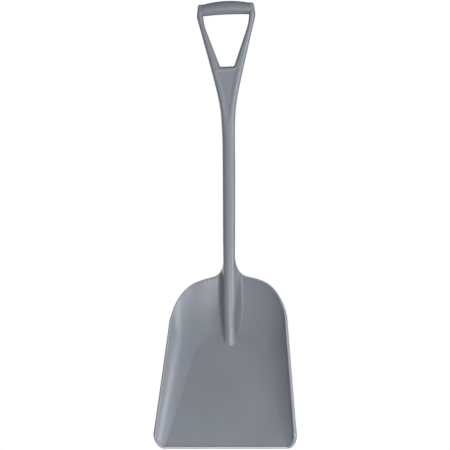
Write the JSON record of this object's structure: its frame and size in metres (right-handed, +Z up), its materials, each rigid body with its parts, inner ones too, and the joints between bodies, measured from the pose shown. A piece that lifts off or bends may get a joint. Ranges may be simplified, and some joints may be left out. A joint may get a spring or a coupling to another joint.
{
  "type": "grain scoop shovel",
  "caption": "Scoop shovel moulded in one piece: deep round-backed pan with raised rim, bent round shaft flaring into a D-shaped hand grip.",
  "frame": {"origin": "middle of the underside of the grip bar, where the shovel hangs on a peg", "axes": "+Z up along the lower shaft, -Y out of the hollow front of the scoop, +X to the right of someone facing that front"},
  "size_m": [0.349, 0.1402, 1.1502],
  "materials": {
    "grey_plastic": "satin moulded polypropylene, mid grey"
  },
  "bodies": {
    "root": {"blade_floor": "grey_plastic", "side_wall_left": "grey_plastic", "side_wall_right": "grey_plastic", "shoulder_left": "grey_plastic", "shoulder_right": "grey_plastic", "spine": "grey_plastic", "rim_left": "grey_plastic", "rim_right": "grey_plastic", "front_lip": "grey_plastic", "shaft": "grey_plastic", "yoke": "grey_plastic", "grip_arm_left": "grey_plastic", "grip_arm_right": "grey_plastic", "grip_bar": "grey_plastic"}
  },
  "joints": []
}
